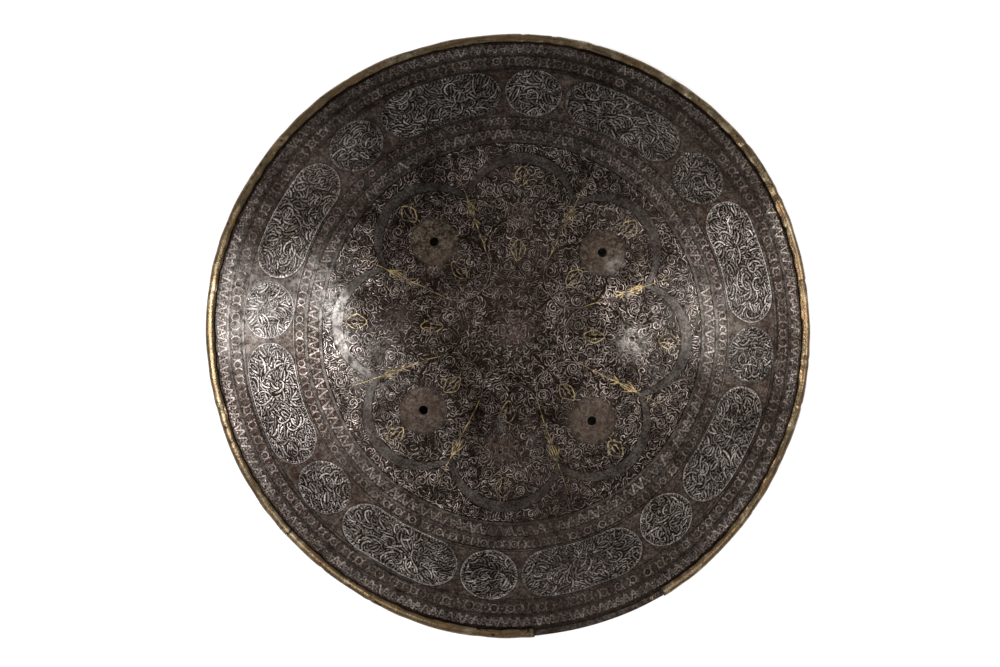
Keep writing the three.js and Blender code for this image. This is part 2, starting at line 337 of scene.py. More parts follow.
class Nodes:
    """Short words for building one node material."""

    def __init__(self, name):
        self.material = bpy.data.materials.new(name)
        self.material.use_nodes = True
        self.tree = self.material.node_tree
        self.shader = self.tree.nodes["Principled BSDF"]
        self.coordinates = self.node("TexCoord").outputs["Object"]

    def put(self, socket, value):
        """Links an output to an input, or sets the input."""
        if isinstance(value, bpy.types.NodeSocket):
            self.tree.links.new(value, socket)
        else:
            socket.default_value = value

    def node(self, kind, inputs=(), **settings):
        made = self.tree.nodes.new("ShaderNode" + kind)
        for key, value in settings.items():
            setattr(made, key, value)
        for key, value in dict(inputs).items():
            self.put(made.inputs[key], value)
        return made

    def noise(self, size_mm, detail=4.0, roughness=0.6, distortion=0.0, vector=None):
        inputs = {"Vector": vector or self.coordinates, "Scale": 1 / (size_mm * MM), "Detail": detail,
                  "Roughness": roughness, "Distortion": distortion}
        return self.node("TexNoise", inputs).outputs["Fac"]

    def cells(self, size_mm):
        inputs = {"Vector": self.coordinates, "Scale": 1 / (size_mm * MM)}
        return self.node("TexVoronoi", inputs, feature="SMOOTH_F1").outputs["Distance"]

    def layer(self, name):
        return self.node("Attribute", attribute_name=name).outputs["Fac"]

    def ramp(self, value, low, high, to_low=0.0, to_high=1.0):
        inputs = {0: value, 1: low, 2: high, 3: to_low, 4: to_high}
        return self.node("MapRange", inputs).outputs[0]

    def sum(self, a, b, operation="ADD"):
        return self.node("Math", {0: a, 1: b}, operation=operation, use_clamp=True).outputs[0]

    def product(self, a, b):
        return self.sum(a, b, "MULTIPLY")

    def mix(self, share, a, b):
        made = self.node("Mix", {0: share}, data_type="RGBA")
        for key, value in ((6, a), (7, b)):
            self.put(made.inputs[key], (*value, 1) if isinstance(value, tuple) else value)
        return made.outputs[2]

    def shade(self, colour, amount):
        made = self.node("VectorMath", {0: colour, 3: amount}, operation="SCALE")
        return made.outputs[0]

    def bump(self, height, depth_mm, strength=1.0, before=None):
        inputs = {"Height": height, "Distance": depth_mm * MM, "Strength": strength}
        if before is not None:
            inputs["Normal"] = before
        return self.node("Bump", inputs).outputs["Normal"]

    def finish(self, colour, roughness, normal, metallic=1.0):
        for key, value in (("Base Color", colour), ("Roughness", roughness), ("Normal", normal),
                           ("Metallic", metallic)):
            self.put(self.shader.inputs[key], value)
        return self.material


def patina(n, dark, light):
    """Cloudy brown patina, with grime in patches, an olive cast in places, and fine grain."""
    clouds = n.ramp(n.noise(34, 6, 0.68, 0.8), 0.38, 0.62)
    colour = n.mix(clouds, dark, light)
    olive = n.ramp(n.noise(27, 3, 0.6, 0.5), 0.54, 0.68, 0.0, 0.2)
    colour = n.mix(olive, colour, tuple(v * k for v, k in zip(light, (0.62, 0.62, 0.42))))
    grime_and_painted_shade = n.ramp(n.noise(13, 7, 0.75, 1.5), 0.47, 0.62, 1.0, 0.5)
    fine = n.ramp(n.noise(1.6, 5, 0.85), 0.42, 0.58, 0.3, 1.65)
    return n.shade(n.shade(colour, grime_and_painted_shade), fine)


def steel(name, dark, light, roughness, faded=1.0, punched=False):
    """Old steel: brown-black patina, faded in patches, greyer where handled and with a painted highlight on
    the left flank, rusty where stained.
    """
    n = Nodes(name)
    colour = patina(n, dark, light)
    if not punched:
        patches = n.ramp(n.noise(24, 6, 0.7, 1.2), 0.42, 0.6, 1.0, faded)
        colour = n.shade(n.shade(colour, patches), n.layer("tone"))
    # Handled wear, and painted highlight on the left flank, from one layer.
    handled_and_highlight = n.product(n.layer("worn_and_painted_highlight"), n.ramp(n.noise(6, 6, 0.75), 0.42, 0.58, 0.05, 1.0))
    normal = n.bump(n.noise(1.3, 5, 0.65), 0.16, 0.8)
    if punched:
        plain = n.layer("plain")
        brown, olive = patina(n, PLAIN_DARK, PLAIN_LIGHT), patina(n, OLIVE_DARK, OLIVE_LIGHT)
        bare = n.mix(n.layer("olive"), brown, olive)
        spots = n.ramp(n.noise(4.5, 6, 0.85), 0.5, 0.55, 0.0, 0.9)
        colour = n.mix(plain, colour, n.mix(spots, bare, RUST_DARK))
        pits = n.product(n.cells(1.1), n.ramp(plain, 0, 1, 1.0, 0.0))
        normal = n.bump(pits, 0.35, 0.8, normal)
        dents = n.product(n.cells(13), n.layer("inside"))
        normal = n.bump(dents, 1.6, 0.6, normal)
        colour = n.mix(n.layer("inside"), colour, patina(n, INSIDE_DARK, INSIDE_LIGHT))
    colour = n.mix(handled_and_highlight, colour, WORN_AND_HIGHLIGHT_GREY)
    stained = n.product(n.layer("rust"), n.ramp(n.noise(4, 6, 0.78, 0.8), 0.4, 0.58))
    scattered = n.ramp(n.noise(19, 8, 0.8, 1.0), 0.61, 0.7, 0.0, 0.55)
    rusty = n.sum(stained, scattered)
    rust = n.mix(n.ramp(n.noise(2.2, 5, 0.7), 0.4, 0.6), RUST_DARK, RUST_LIGHT)
    colour = n.mix(n.ramp(rusty, 0, 1, 0, 0.85), colour, rust)
    # Painted shade: the groove beside the edge strip is coloured near black.
    if punched:
        colour = n.mix(n.layer("grime_and_painted_shade"), colour, PAINTED_SHADE)
    gloss = n.ramp(n.noise(8, 6, 0.7), 0.3, 0.7, roughness - 0.08, roughness + 0.12)
    gloss = n.sum(gloss, n.ramp(rusty, 0, 1, 0, 0.3))
    metallic = n.ramp(rusty, 0, 1, 1.0, 0.4)
    return n.finish(colour, gloss, normal, metallic)


def brass():
    """Old folded brass: streaked along its length, with dark dirt in its dents and at its butted ends, and
    painted shade along its edges and under its lip.
    """
    n = Nodes("old_brass")
    streaked = n.node("CombineXYZ", {0: n.layer("along"), 1: n.layer("across")}).outputs[0]
    streaks = n.ramp(n.noise(1.6, 5, 0.65, 0.3, streaked), 0.36, 0.62)
    colour = n.mix(streaks, (0.045, 0.031, 0.019), (0.135, 0.099, 0.055))
    warm = n.ramp(n.noise(21, 4, 0.6), 0.4, 0.62, 0.0, 0.6)
    colour = n.mix(warm, colour, (0.14, 0.084, 0.04))
    rubbed = n.ramp(n.noise(16, 5, 0.7), 0.53, 0.67, 0.0, 0.6)
    colour = n.mix(rubbed, colour, (0.29, 0.24, 0.155))
    tarnish = n.ramp(n.noise(3.2, 6, 0.78, 1.0), 0.52, 0.64, 0.0, 0.85)
    colour = n.mix(tarnish, colour, (0.035, 0.024, 0.016))
    spots = n.ramp(n.cells(6), 0.12, 0.24, 0.95, 0.0)
    chosen = n.product(spots, n.ramp(n.noise(11, 2), 0.5, 0.58))
    # Random dark dirt spots, plus painted shade along the strip's edges and under its lip from the layer.
    dirt_and_painted_shade = n.sum(chosen, n.layer("grime_and_painted_shade"))
    colour = n.mix(dirt_and_painted_shade, colour, (0.01, 0.008, 0.006))
    normal = n.bump(n.noise(5.5, 4, 0.6), 0.6, 0.5)
    normal = n.bump(n.noise(1.1, 4, 0.6), 0.12, 0.6, normal)
    gloss = n.sum(n.ramp(n.noise(4, 5, 0.7), 0.3, 0.7, 0.18, 0.34), n.ramp(tarnish, 0, 1, 0, 0.2))
    return n.finish(colour, gloss, normal)


def gold():
    """Thin gold, rubbed through to the steel in most places."""
    n = Nodes("worn_gold")
    left = n.ramp(n.noise(8, 6, 0.85, 0.6), 0.45, 0.58)
    colour = n.mix(left, (0.07, 0.055, 0.04), (0.42, 0.31, 0.13))
    normal = n.bump(n.noise(0.9, 4, 0.6), 0.12, 0.6)
    return n.finish(colour, n.ramp(n.noise(3, 4), 0.3, 0.7, 0.28, 0.45), normal)


# ---- Growing strokes that keep clear of each other ----
class Ground:
    """A raster of part of the plan, which says where the middle of a new stroke may still go."""

    CELL = 0.22

    def __init__(self, low, high, inside):
        self.low = np.asarray(low, float)
        size = np.ceil((np.asarray(high, float) - self.low) / self.CELL).astype(int)
        self.size = size
        x, y = np.meshgrid(np.arange(size[0]), np.arange(size[1]), indexing="ij")
        self.taken = ~inside(self.low[0] + x * self.CELL, self.low[1] + y * self.CELL)
        self.taken[[0, -1]] = True
        self.taken[:, [0, -1]] = True

    def cells(self, line):
        found = np.rint((line - self.low) / self.CELL).astype(int)
        return np.clip(found, 0, self.size - 1)

    def clear_length(self, line):
        """How many of a line's places come before the first that is taken."""
        cells = self.cells(line)
        hit = self.taken[cells[:, 0], cells[:, 1]]
        return int(np.argmax(hit)) if hit.any() else len(line)

    def take(self, line, reach):
        cells = self.cells(np.asarray(line))
        n = int(np.ceil(reach / self.CELL))
        dx, dy = np.meshgrid(np.arange(-n, n + 1), np.arange(-n, n + 1), indexing="ij")
        near = dx**2 + dy**2 <= (reach / self.CELL) ** 2
        x = np.clip(cells[:, 0, None] + dx[near], 0, self.size[0] - 1)
        y = np.clip(cells[:, 1, None] + dy[near], 0, self.size[1] - 1)
        self.taken[x, y] = True

    def free_place(self):
        free = np.flatnonzero(~self.taken)
        if not len(free):
            return None
        pick = free[rng.integers(len(free))]
        return self.low + np.array([pick // self.size[1], pick % self.size[1]]) * self.CELL


STEP = 0.55


def curve_from(start, heading, bend, tighten, length):
    """A curve whose bend grows along it, as a tendril's does. Bends are in turns of angle per millimetre."""
    s = np.arange(0, length, STEP)
    angle = heading + bend * s + tighten * s**2
    steps = STEP * np.stack([np.cos(angle), np.sin(angle)], -1)
    return np.concatenate([[start], start + np.cumsum(steps, 0)])


def tapered(count, full, head=0.35, tail=0.3):
    """Widths of a comma: a full middle that thins fast to its head and slowly to its tail."""
    t = np.linspace(0, 1, count)
    return full * np.clip(np.minimum(head + 5 * t, tail + 1.6 * (1 - t)), 0, 1)


def thinned(line, spacing):
    """Which of a line's places to keep: every so many, and its last."""
    keep = max(1, round(spacing / STEP))
    return np.unique(np.append(np.arange(0, len(line), keep), len(line) - 1))


class Style(NamedTuple):
    """How one kind of stroke is drawn, in millimetres."""

    width: float
    gap: float
    shortest: float
    longest: float
    bend: float
    tighten: float
    misses: int  # how many starts in a row may fail before the ground counts as full


JOIN = 2  # steps that a blocked stroke runs on, to touch what blocks it
ONWARD = 0.6  # the share of a stroke that grows onward from its start, the rest growing back
HEADING_SPREAD = 0.7
PEN_SPACING = 1.1  # between the places kept along a grown stroke


def grown(ground, start, heading, style):
    """A curve grown both ways from its start until it meets something."""
    turn = rng.choice([-1, 1])
    bend = turn * style.bend * rng.uniform(0.3, 1.6)
    tighten = turn * style.tighten * rng.uniform(0.0, 1.5)
    reach = style.longest * rng.uniform(0.6, 1.2)
    onward = curve_from(start, heading, bend, tighten, ONWARD * reach)
    back = curve_from(start, heading + pi, -bend, 0.0, (1 - ONWARD) * reach)
    clear = ground.clear_length(onward), ground.clear_length(back)
    line = np.concatenate([back[:clear[1] + JOIN][:0:-1], onward[:clear[0] + JOIN]])
    return line, sum(clear) * STEP


def fill(ground, style, flow, draw):
    """Adds strokes at random free places, along the flow, until no more fit."""
    misses = 0
    while misses < style.misses:
        start = ground.free_place()
        if start is None:
            return
        line, length = grown(ground, start, flow(start) + rng.normal(0, HEADING_SPREAD), style)
        if length < style.shortest:
            misses += 1
            continue
        misses = 0
        width = style.width * rng.uniform(0.75, 1.2)
        draw(line, width)
        ground.take(line, width + style.gap)


def pen_for(ridges, copies=None, bend=None):
    """A pen that thins a line and adds it, or each of its copies, to the ridges."""

    def draw(line, width, head=0.45, tail=0.4):
        index = thinned(line, PEN_SPACING)
        widths = tapered(len(line), width, head, tail)[index]
        for place in copies(line[index]) if copies else [line[index]]:
            ridges.add(place, widths, bend=bend, sink=rng.uniform(0, 0.1))

    return draw


# ---- Outlines ----
def lobed(lobe, centre, arc, steps):
    """One arc of the rosette, from the point at its near side to just before the next."""
    across = centre * sin(SECTOR / 2)
    along = sqrt(arc**2 - across**2)
    open_angle = atan2(across, along) + SECTOR / 2
    swing = open_angle * (2 * np.arange(steps) / steps - 1)
    return turned(at(arc, swing) + [centre, 0], lobe * SECTOR)


RIBBON_BEVEL = 0.2


def closed_ribbon(ridges, outer, inner):
    """A flat band between two closed outlines with the same number of places."""
    side = outer - inner
    side /= np.linalg.norm(side, axis=1, keepdims=True)
    side *= RIBBON_BEVEL
    section = np.stack([outer + side, outer, inner, inner - side], 1)
    depth = np.broadcast_to([ridges.FOOT, 0, 0, ridges.FOOT], (len(outer), 4))
    ridges.keep(section.reshape(-1, 2), depth.ravel(), strip_faces(len(outer), 4, True, True))


def pointed_oval(radius, length, width):
    """The outline of a leaf with four points, on the +X axis."""
    count = 20
    t = np.arange(count) / count * TURN
    x = radius + length / 2 * np.sign(np.cos(t)) * np.abs(np.cos(t)) ** 1.5
    y = width / 2 * np.sign(np.sin(t)) * np.abs(np.sin(t)) ** 1.35
    return np.stack([x, y], -1)


def stadium(half_length, half_height):
    """An outline with straight sides along X and round ends."""
    steps, end_steps = 30, 16
    straight = half_length - half_height
    parts = []
    for side in (1, -1):
        if straight > 0:
            x = side * np.linspace(straight, -straight, steps, endpoint=False)
            parts.append(np.stack([x, np.full(steps, side * half_height)], -1))
        swing = side * pi / 2 + pi * np.arange(end_steps) / end_steps
        parts.append(at(half_height, swing) - [side * straight, 0])
    return np.concatenate(parts)


def panel_bend(angle):
    """Puts flat panel places, along and out on the slope, where they lie in plan."""

    def bend(flat):
        return at(PANEL_RADIUS + flat[:, 1] * PANEL_SHORTENING, angle - flat[:, 0] / PANEL_RADIUS)

    return bend


# ---- The steel plate ----
def outside_panel(plan, shape, angle):
    """Distance outside the nearest panel of a kind, in millimetres on the slope."""
    radius, heading = np.hypot(plan[:, 0], plan[:, 1]), np.arctan2(plan[:, 1], plan[:, 0])
    along = (np.mod(heading - angle + SECTOR / 2, SECTOR) - SECTOR / 2) * PANEL_RADIUS
    past = np.maximum(np.abs(along) - (shape[0] - shape[1]), 0)
    return np.hypot(past, (radius - PANEL_RADIUS) / PANEL_SHORTENING) - shape[1]


def plate_layers(mesh):
    """Where the plate is plain, painted near black as shade in the groove by the strip, or inside, from
    where its places lie.
    """
    places = np.empty(3 * len(mesh.vertices))
    mesh.vertices.foreach_get("co", places)
    places = places.reshape(-1, 3) / MM
    plan = places[:, :2]
    radius = np.hypot(plan[:, 0], plan[:, 1])
    even = radius / (1 + (radius / EDGE) ** 4 * edge_wave(np.arctan2(plan[:, 1], plan[:, 0])))
    inside = places[:, 2] < CROWN - drop(even) - (GROUND + THICKNESS) / 2 - hollows(plan[:, 0], plan[:, 1])
    plain = (even > PAINTED_SHADE_GROOVE[0]).astype(float)
    band = (radius > PANEL_BAND[0]) & (radius < PANEL_BAND[1])
    from_panels = np.minimum(outside_panel(plan, ROUND_PANEL, PANEL_TURN),
                             outside_panel(plan, LONG_PANEL, PANEL_TURN + SECTOR / 2))
    plain = np.where(band, np.clip(from_panels / 1.5 + 0.5, 0, 1), plain)
    for low, high in BORDERS:
        plain = np.where((radius > low) & (radius < high), BORDER_GROUND, plain)
    for place in BOSS_PLACES:
        away = np.linalg.norm(plan - place, axis=1)
        plain = np.maximum(plain, np.clip(SEAT_BORDER + 0.5 - away, 0, 1))
    # Painted shade: the groove beside the edge strip is marked to be coloured near black, as the shade in
    # the gap under the strip.
    shaded_groove_mask = (even > PAINTED_SHADE_GROOVE[0]) & (even < PAINTED_SHADE_GROOVE[1]) & ~inside
    layers = {"plain": plain, "grime_and_painted_shade": shaded_groove_mask, **stains(plan)}
    add_layers(mesh, {key: values * ~inside for key, values in layers.items()} | {"inside": inside})


def steel_dome(material):
    """The plate: its outer face at the depth of the ground, and its plain inner face."""
    around = 640  # places round each ring
    chiselled = np.linspace(2.2, PAINTED_SHADE_GROOVE[1], 102)
    rim = np.linspace(PAINTED_SHADE_GROOVE[1] + 0.3, EDGE, 4)
    inner = np.linspace(EDGE, 4, 34)
    radii = np.concatenate([chiselled, rim, inner])
    depths = np.repeat([GROUND, 0, THICKNESS], [len(chiselled), len(rim), len(inner)])
    angle = np.arange(around) * TURN / around
    plan = at(radii[:, None], angle[None, :]).reshape(-1, 2)
    places = on_dome(plan[:, 0], plan[:, 1], np.repeat(depths, around))
    poles = on_dome(np.zeros(2), np.zeros(2), np.array([GROUND, THICKNESS]))
    places = np.concatenate([places, poles])
    # The quads are wound to face into the steel, and the two fans at the crown to face out of it.
    quads = strip_faces(len(radii), around, False, True)
    first = np.arange(around)
    last = first + (len(radii) - 1) * around
    top = np.stack([np.full(around, len(places) - 2), first, np.roll(first, -1)], -1)
    under = np.stack([np.full(around, len(places) - 1), np.roll(last, -1), last], -1)
    piece = make_piece("steel_dome", places, [quads, top, under], material, "chiselled_steel",
                       replaces=["steel_plate"], smooth=True)
    drill(piece)
    plate_layers(piece.data)


def lathe(profile, sides):
    """A closed solid turned about Z from (radius, height) places, the first and last on the axis."""
    profile = np.asarray(profile, float)
    angle = np.arange(sides) * TURN / sides
    body = profile[1:-1]
    x = body[:, 0, None] * np.cos(angle)
    y = body[:, 0, None] * np.sin(angle)
    z = np.broadcast_to(body[:, 1, None], x.shape)
    places = np.concatenate([np.stack([x, y, z], -1).reshape(-1, 3), [[0, 0, profile[0, 1]]],
                             [[0, 0, profile[-1, 1]]]])
    quads = strip_faces(len(body), sides, False, True)
    first, last = np.arange(sides), np.arange(sides) + (len(body) - 1) * sides
    bottom = np.stack([np.full(sides, len(places) - 2), np.roll(first, -1), first], -1)
    top = np.stack([np.full(sides, len(places) - 1), last, np.roll(last, -1)], -1)
    return places, [quads, bottom, top]


def drill(dome):
    """Cuts the four rivet holes, square to the dome."""
    low, high = -9, 4
    places, faces = lathe([(0, low), (BOSS_HOLE, low), (BOSS_HOLE, high), (0, high)], 48)
    tilt = float(slope_angle(np.array(BOSS_RING)))
    middle = on_dome(np.array([BOSS_RING]), np.zeros(1), np.array([GROUND]))[0]
    blocks, all_places = [], []
    for index, angle in enumerate(BOSS_ANGLES):
        turn = Matrix.Rotation(angle, 3, "Z")
        stand = np.array(turn @ Matrix.Rotation(tilt, 3, "Y"))
        blocks += [block + index * len(places) for block in faces]
        all_places.append(places @ stand.T + np.array(turn @ Vector(middle)))
    mesh = bpy.data.meshes.new("cutter")
    corners = [tuple(int(v) for v in face) for block in blocks for face in block]
    mesh.from_pydata([tuple(p) for p in np.concatenate(all_places) * MM], [], corners)
    cutter = place_in_scene("cutter", mesh)
    cut = dome.modifiers.new("cut", "BOOLEAN")
    cut.operation, cut.solver, cut.object = "DIFFERENCE", "EXACT", cutter
    bpy.context.view_layer.update()
    whole = dome.data
    evaluated = dome.evaluated_get(bpy.context.evaluated_depsgraph_get())
    dome.data = bpy.data.meshes.new_from_object(evaluated)
    dome.data.set_sharp_from_angle(angle=radians(20))
    dome.modifiers.clear()
    bpy.data.objects.remove(cutter)
    bpy.data.meshes.remove(mesh)
    bpy.data.meshes.remove(whole)


# ---- Raised lines ----
BORDERS = [(146.5, 166), (206.5, 226.5)]
BORDER_GROUND = 0.65  # how plain the ground is between the work of the narrow borders
PLAIN_LINES = [(145.6, 2.2), (156.8, 2.2), (166.2, 0.7), (205.6, 1.6), (217.5, 1.8)]  # radius and width


def raised_lines(material):
    """The plain lines between the bands, the rosette band and the seats' outlines."""
    ridges = Ridges()
    for radius, width in PLAIN_LINES:
        ridges.add(ring(radius, 420), width, closed=True)
    steps = 26
    outer = np.concatenate([lobed(k, *ROSETTE_OUTER, steps) for k in range(LOBES)])
    inner = np.concatenate([lobed(k, *ROSETTE_INNER, steps) for k in range(LOBES)])
    closed_ribbon(ridges, outer, inner)
    for place in BOSS_PLACES:
        ridges.add(ring(SEAT_BORDER, 48) + place, 0.6, closed=True)
    ridges.piece("raised_lines", material, wander=0.12)


# ---- Narrow borders ----
ZIGZAG_MARKS = [(0.0, 0.76, 0.14), (0.0, 0.45, 0.06), (0.5, 0.24, 0.14), (0.5, 0.55, 0.06)]
MARK_WIDTH = 0.75
BEAD = np.array([[-0.4, 0.0], [0.0, 0.0], [0.4, 0.0]])


def zigzag(ridges, low, high, count, width):
    """A running zigzag of single bars, with small curls in each of its triangles.

    A mark's place is in shares of the pitch and of the height, and so is its size in shares of the height.
    """
    pitch = TURN / count
    height = high - low
    for k in range(count):
        for side in (1, -1):
            pinch = side * 0.3 * width / high
            angles = (k + side * np.linspace(0, 0.5, 4)) * pitch + np.linspace(pinch, -pinch, 4)
            bar = at(np.linspace(low, high, 4), angles)
            ridges.add(bar, width * rng.uniform(0.85, 1.1))
        for offset, share, size in ZIGZAG_MARKS:
            angle = (k + offset) * pitch + rng.normal(0, 0.03) * pitch
            hook = rng.choice([-1, 1])
            sweep = angle + hook * np.linspace(-1.4, 1.6, 5)
            curl = at(height * size * np.linspace(1.0, 0.7, 5), sweep)
            ridges.add(curl + at(low + height * share, angle), MARK_WIDTH)


def beaded_circle(ridges, centre, angle, radius):
    ridges.add(ring(radius, 12) + centre, MARK_WIDTH, closed=True)
    ridges.add(turned(BEAD, angle) + centre, 0.8)


def facing_curls(ridges, centre, angle, half):
    for side in (1, -1):
        swing = side * pi / 2 + np.linspace(-1.15, 1.15, 6)
        curl = at(half * 0.7, swing) * [1.15, 1] + [0, side * half * 0.05]
        ridges.add(turned(curl, angle) + centre, tapered(6, 0.95, 0.6, 0.6))
    ridges.add(turned(BEAD, angle) + centre, 1.0)


def circles_and_curls(ridges, middle, half, count):
    """Small circles with a dot, pairs of curls between them, and beads in the corners."""
    pitch = TURN / count
    for k in range(count):
        angle = (k + rng.normal(0, 0.04)) * pitch
        beaded_circle(ridges, at(middle, angle), angle, half * rng.uniform(0.58, 0.68))
        beside = angle + pitch / 2
        facing_curls(ridges, at(middle, beside), beside, half)
        for out in (-1, 1):
            for side in (-0.27, 0.27):
                corner = at(middle + out * half * 0.78, angle + side * pitch)
                ridges.add(turned(BEAD * [0.8, 1], angle) + corner, 0.8)


def narrow_borders(material):
    ridges = Ridges()
    zigzag(ridges, 218.9, 225.9, 212, 1.25)
    zigzag(ridges, 147.3, 155.1, 120, 1.35)
    circles_and_curls(ridges, 211.6, 4.6, 108)
    circles_and_curls(ridges, 161.6, 3.9, 88)
    ridges.piece("narrow_borders", material, wander=0.25)


# ---- Panels ----
SWEEP = Style(1.2, 0.46, 5.0, 18.0, 0.12, 0.014, 18)
BODY = Style(0.82, 0.42, 1.2, 4.4, 0.5, 0.08, 260)
COMMA = Style(0.74, 0.42, 0.9, 2.4, 0.7, 0.0, 400)
FILLER = Style(0.62, 0.36, 0.5, 1.3, 0.6, 0.0, 500)
TOOTH = 2.6  # spacing of the teeth inside an outline
TOOTH_WIDTH = 1.15
OUTLINE_INSET = 0.4
OUTLINE_WIDTH = 0.62
WORK_INSET = 1.6  # how far the middle of a grown stroke stays inside the outline


def along_outline(outline, spacing):
    """Evenly spaced places along a closed outline."""
    closed = np.concatenate([outline, outline[:1]])
    run = np.concatenate([[0], np.cumsum(np.linalg.norm(np.diff(closed, axis=0), axis=1))])
    places = np.linspace(0, run[-1], int(run[-1] / spacing), endpoint=False)
    return np.stack([np.interp(places, run, closed[:, 0]), np.interp(places, run, closed[:, 1])], -1)


def panel(ridges, angle, half_length, half_height):
    """An outline with teeth inside it, filled with flowing strokes, broad ones first."""
    bend = panel_bend(angle)
    straight = half_length - half_height
    outline = stadium(half_length - OUTLINE_INSET, half_height - OUTLINE_INSET)
    ridges.add(outline, OUTLINE_WIDTH, closed=True, bend=bend)

    def inside(x, y):
        return np.hypot(np.maximum(np.abs(x) - straight, 0), y) < half_height - WORK_INSET

    def flow(place):
        return swing * sin(place[0] / 9 + phase) + atan2(place[1], place[0] + 20 * lean)

    swing, phase, lean = rng.uniform(0.2, 0.6), rng.uniform(0, TURN), rng.uniform(-1, 1)
    edge = np.array([half_length, half_height])
    ground = Ground(-edge, edge, inside)
    for spot in along_outline(outline, TOOTH):
        inward = np.array([np.clip(spot[0], -straight, straight), 0.0]) - spot
        inward = turned(inward / np.linalg.norm(inward), rng.normal(0, 0.3))
        tooth = spot + inward * np.linspace(0.3, rng.uniform(1.2, 2.3), 3)[:, None]
        ridges.add(tooth, TOOTH_WIDTH, bend=bend)
        ground.take(tooth, TOOTH_WIDTH)
    draw = pen_for(ridges, bend=bend)
    for style in (SWEEP, BODY, COMMA, FILLER):
        fill(ground, style, flow, draw)


def panels(material):
    for name, shape, share in (("round_panels", ROUND_PANEL, 0.0), ("long_panels", LONG_PANEL, 0.5)):
        ridges = Ridges(tones=(0.4, 1.6))
        for index in range(LOBES):
            panel(ridges, (index + share) * SECTOR + PANEL_TURN, *shape)
        ridges.piece(name, material, wander=0.2)


# ---- The field of scrolls ----
STEM = Style(0.6, 0.62, 2.4, 9.0, 0.28, 0.05, 200)
LEAF = Style(0.8, 0.56, 1.2, 4.0, 0.5, 0.08, 400)
SEED = Style(0.58, 0.48, 0.5, 1.6, 0.6, 0.0, 500)
SCROLL_RADII = (4.6, 3.4, 2.6)
SCROLL_TRIES = 22
AXIS_CLEAR = 0.75  # how far the middle of a stroke stays from a half-lobe's two sides
FIELD_CLEAR = 1.0
ROSETTE_CLEAR = 0.9
STAR_CLEAR = 1.1
CENTRE_CLEAR = 5
ROSETTE_START = 78  # the rosette band is drawn only outside this


def mirrored(line):
    """A stroke of one half-lobe, repeated over the lobes of its kind."""
    flipped = line * [1, -1]
    for turn in range(LOBES // 2):
        yield turned(line, turn * 2 * SECTOR)
        yield turned(flipped, turn * 2 * SECTOR)


def scroll(centre, radius, start, hand):
    """A spiral from its outside to near its middle, with more turns the larger it is."""
    turns = 0.34 * radius * rng.uniform(0.75, 1.05)
    count = max(10, int(TURN * turns * radius * 0.6 / STEP))
    t = np.linspace(0, 1, count)
    return centre + at(radius * (1 - 0.84 * t), start + hand * TURN * turns * t)


def scatter_scrolls(ground, draw):
    """Spirals at random free places, the largest first. Gives back their centres."""
    centres = []
    for radius in SCROLL_RADII:
        for _ in range(SCROLL_TRIES):
            centre = ground.free_place()
            line = scroll(centre, radius, rng.uniform(0, TURN), rng.choice([-1, 1]))
            if ground.clear_length(line) < len(line):
                continue
            draw(line, STEM.width, 0.7, 1.0)
            ground.take(line, STEM.width + STEM.gap)
            centres.append(centre)
    return np.array(centres)


def half_lobe(ridges, first_axis, seat):
    """Fills one half-lobe and repeats it over the four lobes of its kind."""

    def inside(x, y):
        radius = np.hypot(x, y)
        free = (y > AXIS_CLEAR) & (y * cos(SECTOR / 2) < x * sin(SECTOR / 2) - AXIS_CLEAR)
        free &= (radius > CENTRE_CLEAR) & (radius < FIELD_EDGE - FIELD_CLEAR)
        in_outer = np.hypot(x - ROSETTE_OUTER[0], y) < ROSETTE_OUTER[1] + ROSETTE_CLEAR
        in_inner = np.hypot(x - ROSETTE_INNER[0], y) < ROSETTE_INNER[1] - ROSETTE_CLEAR
        free &= ~(in_outer & ~in_inner & (x > ROSETTE_START))
        free &= np.abs(np.hypot(x - STAR[0], y) - STAR[1]) > STAR_CLEAR
        return free & (np.hypot(x - BOSS_RING, y) > seat)

    far_corner = np.array([FIELD_EDGE, FIELD_EDGE * tan(SECTOR / 2)]) + 1
    ground = Ground((0, 0), far_corner, inside)
    draw = pen_for(ridges, lambda line: (turned(copy, first_axis) for copy in mirrored(line)))
    centres = scatter_scrolls(ground, draw)

    def flow(place):
        away = place - centres[np.argmin(np.hypot(*(centres - place).T))]
        return atan2(away[1], away[0]) + pi / 2

    for style in (STEM, LEAF, SEED):
        fill(ground, style, flow, draw)


def petals(ridges, place, inner, outer, count):
    for petal in range(8):
        line = at(np.linspace(inner, outer, count), petal * TURN / 8)
        ridges.add(line + place, tapered(count, 1.3))


def star_and_rounds(material):
    """The scalloped star round the crown and the small rosettes."""
    ridges = Ridges()
    centre, arc = STAR
    reach = pi / 2 - SECTOR / 2
    swing = pi + np.linspace(-reach, reach, 12)
    scallop = at(arc, swing) + [centre, 0]
    for lobe in range(LOBES):
        ridges.add(turned(scallop, lobe * SECTOR), 0.5)
    for lobe in range(0, LOBES, 2):
        place = at(BOSS_RING, lobe * SECTOR)
        for radius, width in ((6.2, 0.8), (2.6, 0.7)):
            ridges.add(ring(radius, 20) + place, width, closed=True)
        petals(ridges, place, 3.4, 5.4, 4)
    petals(ridges, np.zeros(2), 1.0, 3.9, 5)
    ridges.piece("star_and_rounds", material, wander=0.5)


def field(material):
    """Four lobes with a boss's seat left plain, and four between them with a small rosette."""
    kinds = (("boss_lobe_scrolls", SECTOR, SEAT_BORDER + 0.9), ("cross_lobe_scrolls", 0.0, 7.2))
    for name, axis, seat in kinds:
        ridges = Ridges(tones=(0.15, 2.3))
        half_lobe(ridges, axis, seat)
        ridges.piece(name, material, wander=0.5)


